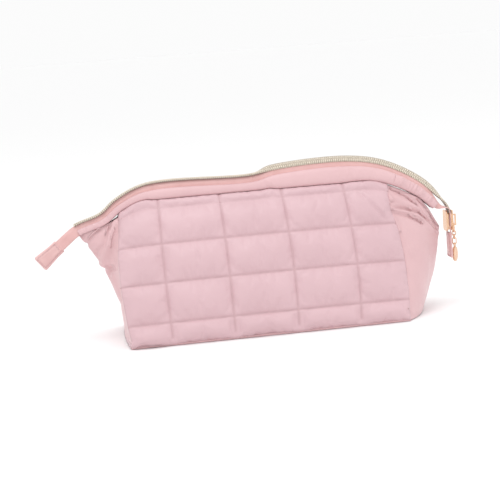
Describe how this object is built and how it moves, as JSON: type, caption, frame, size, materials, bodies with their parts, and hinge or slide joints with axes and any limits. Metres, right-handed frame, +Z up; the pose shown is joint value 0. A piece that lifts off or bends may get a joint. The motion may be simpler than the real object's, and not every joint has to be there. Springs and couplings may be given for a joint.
{
  "type": "zip makeup pouch",
  "caption": "Quilted soft makeup pouch with a zip that opens to a wide mouth and droops past both ends, and a chain puller with an oval charm.",
  "frame": {"origin": "middle of the underside of the base", "axes": "+X along the length to the closed end of the zip, +Y to the rear, +Z up"},
  "size_m": [0.3176, 0.0976, 0.1186],
  "materials": {
    "quilted_fabric": "soft satin nylon, quilted over wadding",
    "plain_fabric": "soft satin nylon",
    "lining_fabric": "smooth woven lining",
    "zip_tape": "ribbed woven zip tape",
    "zip_coil": "metallised nylon coil, pale champagne",
    "stay_steel": "plain spring strip",
    "gold": "polished pale rose gold plating"
  },
  "bodies": {
    "shell": {"base_panel": "quilted_fabric", "base_lining": "lining_fabric", "left_gusset": "plain_fabric", "right_gusset": "plain_fabric", "left_gusset_lining": "lining_fabric", "right_gusset_lining": "lining_fabric", "front_left_wing_hem": "plain_fabric", "front_right_wing_hem": "plain_fabric", "rear_left_wing_hem": "plain_fabric", "rear_right_wing_hem": "plain_fabric"},
    "front_wall": {"front_panel": "quilted_fabric", "front_lining": "lining_fabric", "front_tape": "zip_tape", "front_coil": "zip_coil", "front_rim_band": "plain_fabric", "front_rim_stay": "stay_steel"},
    "rear_wall": {"rear_panel": "quilted_fabric", "rear_lining": "lining_fabric", "rear_tape": "zip_tape", "rear_coil": "zip_coil", "rear_rim_band": "plain_fabric", "rear_rim_stay": "stay_steel"},
    "slider": {"slider_body": "gold"},
    "link_1": {"puller_link_1": "gold"},
    "link_2": {"puller_link_2": "gold"},
    "link_3": {"puller_link_3": "gold"},
    "link_4": {"puller_link_4": "gold"},
    "charm": {"charm": "gold"},
    "left_tab": {"left_end_tab": "zip_tape"},
    "right_tab": {"right_end_tab": "zip_tape"}
  },
  "joints": [
    {"name": "slider_travel", "type": "hinge", "parent": "shell", "child": "slider", "pos_m": [0.00086, 0, -0.02482], "axis": [0, -1, 0], "range_deg": [0, 106.5], "deforming": ["front_tape", "rear_tape", "front_coil", "rear_coil", "front_left_wing_hem", "front_right_wing_hem", "rear_left_wing_hem", "rear_right_wing_hem", "right_gusset"]},
    {"name": "front_wall_opening", "type": "hinge", "parent": "shell", "child": "front_wall", "pos_m": [0, -0.048, 0.002], "axis": [1, 0, 0], "range_deg": [0, 14.2]},
    {"name": "rear_wall_opening", "type": "hinge", "parent": "shell", "child": "rear_wall", "pos_m": [0, 0.048, 0.002], "axis": [-1, 0, 0], "range_deg": [0, 14.2]},
    {"name": "puller_swing", "type": "hinge", "parent": "slider", "child": "link_1", "pos_m": [0.1499, 0, 0.06199], "axis": [0, 1, 0], "range_deg": [-130, 0]},
    {"name": "link_2_swing", "type": "hinge", "parent": "link_1", "child": "link_2", "pos_m": [0.1499, 0, 0.05499], "axis": [0, 1, 0], "range_deg": [-35, 0]},
    {"name": "link_3_swing", "type": "hinge", "parent": "link_2", "child": "link_3", "pos_m": [0.1499, 0, 0.05242], "axis": [1, 0, 0], "range_deg": [-35, 35]},
    {"name": "link_4_swing", "type": "hinge", "parent": "link_3", "child": "link_4", "pos_m": [0.1499, 0, 0.04985], "axis": [0, 1, 0], "range_deg": [-35, 0]},
    {"name": "charm_swing", "type": "hinge", "parent": "link_4", "child": "charm", "pos_m": [0.1499, 0, 0.04569], "axis": [1, 0, 0], "range_deg": [-30, 30]},
    {"name": "left_tab_flex", "type": "hinge", "parent": "shell", "child": "left_tab", "pos_m": [-0.14406, 0, 0.07217], "axis": [0.5847, 0, -0.8112], "range_deg": [-35, 35], "stiffness_Nm_per_rad": 0.0005},
    {"name": "right_tab_flex", "type": "hinge", "parent": "shell", "child": "right_tab", "pos_m": [0.146, 0, 0.0555], "axis": [0, 1, 0], "range_deg": [0, 20], "stiffness_Nm_per_rad": 0.0005}
  ],
  "couplings": [
    {"joint": "front_wall_opening", "follows": "slider_travel", "ratio": 0.13145},
    {"joint": "rear_wall_opening", "follows": "slider_travel", "ratio": 0.13145}
  ]
}
